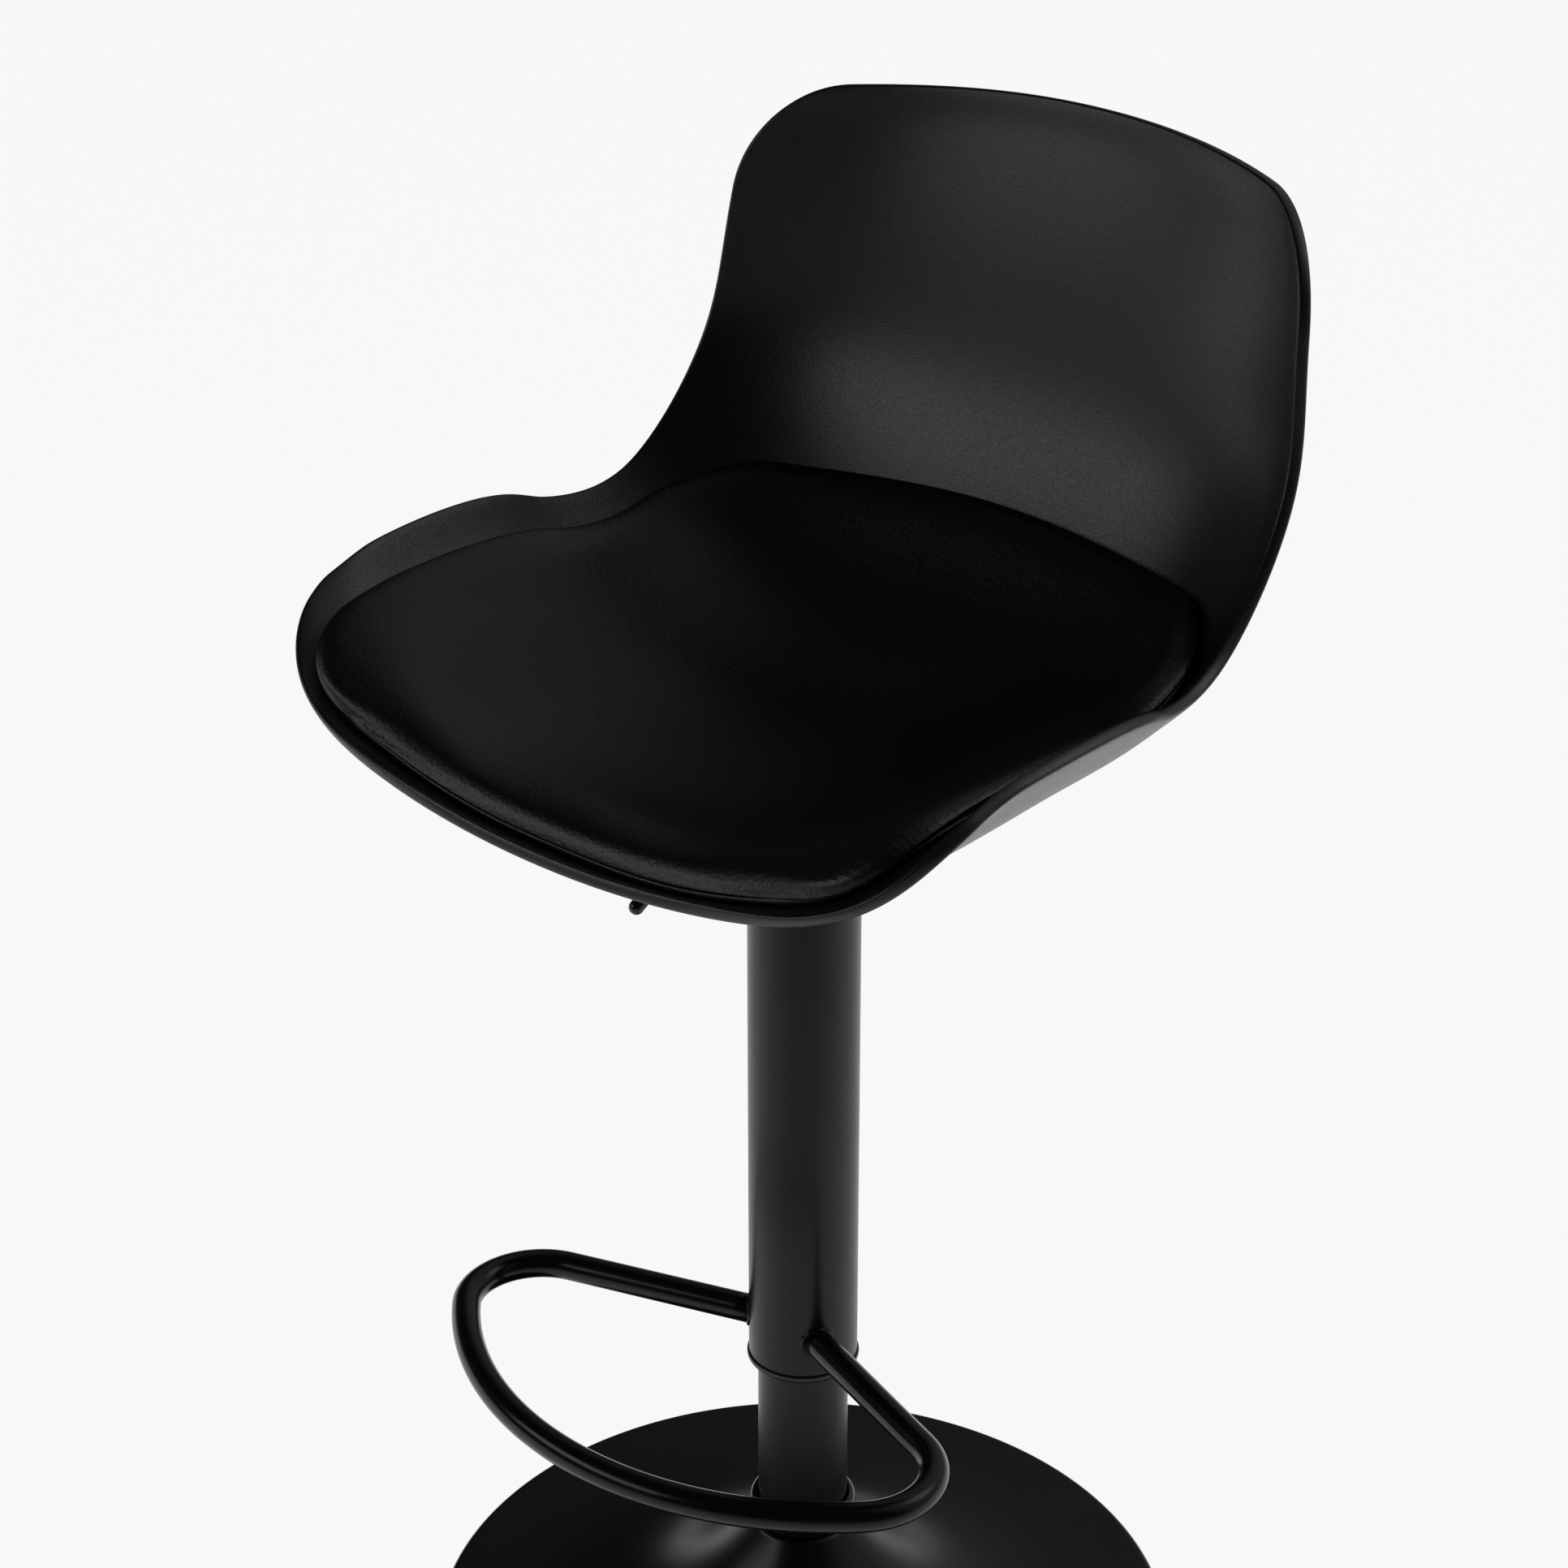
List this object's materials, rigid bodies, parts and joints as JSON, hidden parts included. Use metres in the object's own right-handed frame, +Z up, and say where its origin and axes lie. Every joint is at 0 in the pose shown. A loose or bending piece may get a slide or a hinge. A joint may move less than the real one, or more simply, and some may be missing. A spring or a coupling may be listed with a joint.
{
  "type": "bar stool",
  "caption": "Height-adjustable bar stool: bucket seat shell with low back and padded seat, gas lift column with release lever, D-shaped footrest and round trumpet base.",
  "frame": {"origin": "centre of the base on the floor, on the column's axis, with the seat at its lowest height", "axes": "+Z up along the column, -Y towards the front of the seat, +X to the left of someone sitting on it"},
  "size_m": [0.4384, 0.4331, 0.8518],
  "materials": {
    "black_steel": "satin",
    "shell_plastic": "matte, fine grain",
    "pad_leather": "fine pebble grain",
    "gloss_black": "gloss",
    "black_plastic": "satin",
    "black_rubber": "matte",
    "weight_steel": "matte",
    "bright_steel": "brushed",
    "rod_chrome": "polished",
    "nylon": "satin",
    "brass": "machined",
    "board": "matte",
    "pin_plastic": "satin"
  },
  "bodies": {
    "base": {"edge_ring": "black_rubber", "weight_plate": "weight_steel", "base_hub": "weight_steel", "hub_bolts": "bright_steel", "base_cover": "black_steel", "trim_collar": "gloss_black", "stand_tube": "black_steel", "guide_bush": "nylon", "bearing_lower_race": "bright_steel", "bearing_cage": "brass", "bearing_balls": "rod_chrome"},
    "piston_rod_set": {"bearing_upper_race": "bright_steel", "retaining_clip": "bright_steel", "piston_rod": "rod_chrome", "piston": "bright_steel", "stop_bumper": "black_rubber"},
    "seat_set": {"gas_cylinder": "black_steel", "rod_guide": "black_plastic", "sleeve": "black_steel", "sleeve_cap": "black_steel", "sleeve_guide_ring": "black_plastic", "footrest": "black_steel", "taper_socket": "black_steel", "seat_plate": "black_steel", "lever_bracket": "black_steel", "lever_pin": "bright_steel", "seat_bolts": "bright_steel", "seat_washers": "bright_steel", "shell_bosses": "shell_plastic", "threaded_inserts": "brass", "seat_shell": "shell_plastic", "cushion_board": "board", "seat_cushion": "pad_leather"},
    "lever_set": {"lever": "black_steel"},
    "pin_set": {"release_pin": "pin_plastic"}
  },
  "joints": [
    {"name": "seat_swivel", "type": "hinge", "parent": "base", "child": "piston_rod_set", "pos_m": [0, 0, 0.033], "axis": [0, 0, 1], "continuous": true},
    {"name": "seat_height", "type": "slide", "parent": "piston_rod_set", "child": "seat_set", "axis": [0, 0, 1], "range_m": [0, 0.2]},
    {"name": "lever_lift", "type": "hinge", "parent": "seat_set", "child": "lever_set", "pos_m": [-0.00855, -0.03703, 0.522], "axis": [-0.9744, 0.225, 0], "range_deg": [0, 5], "stiffness_Nm_per_rad": 0.6, "springref_deg": -8.59},
    {"name": "pin_press", "type": "slide", "parent": "seat_set", "child": "pin_set", "axis": [0, 0, 1], "range_m": [-0.0036, 0]}
  ],
  "couplings": [
    {"joint": "pin_press", "follows": "lever_lift", "m_per_rad": -0.04}
  ]
}
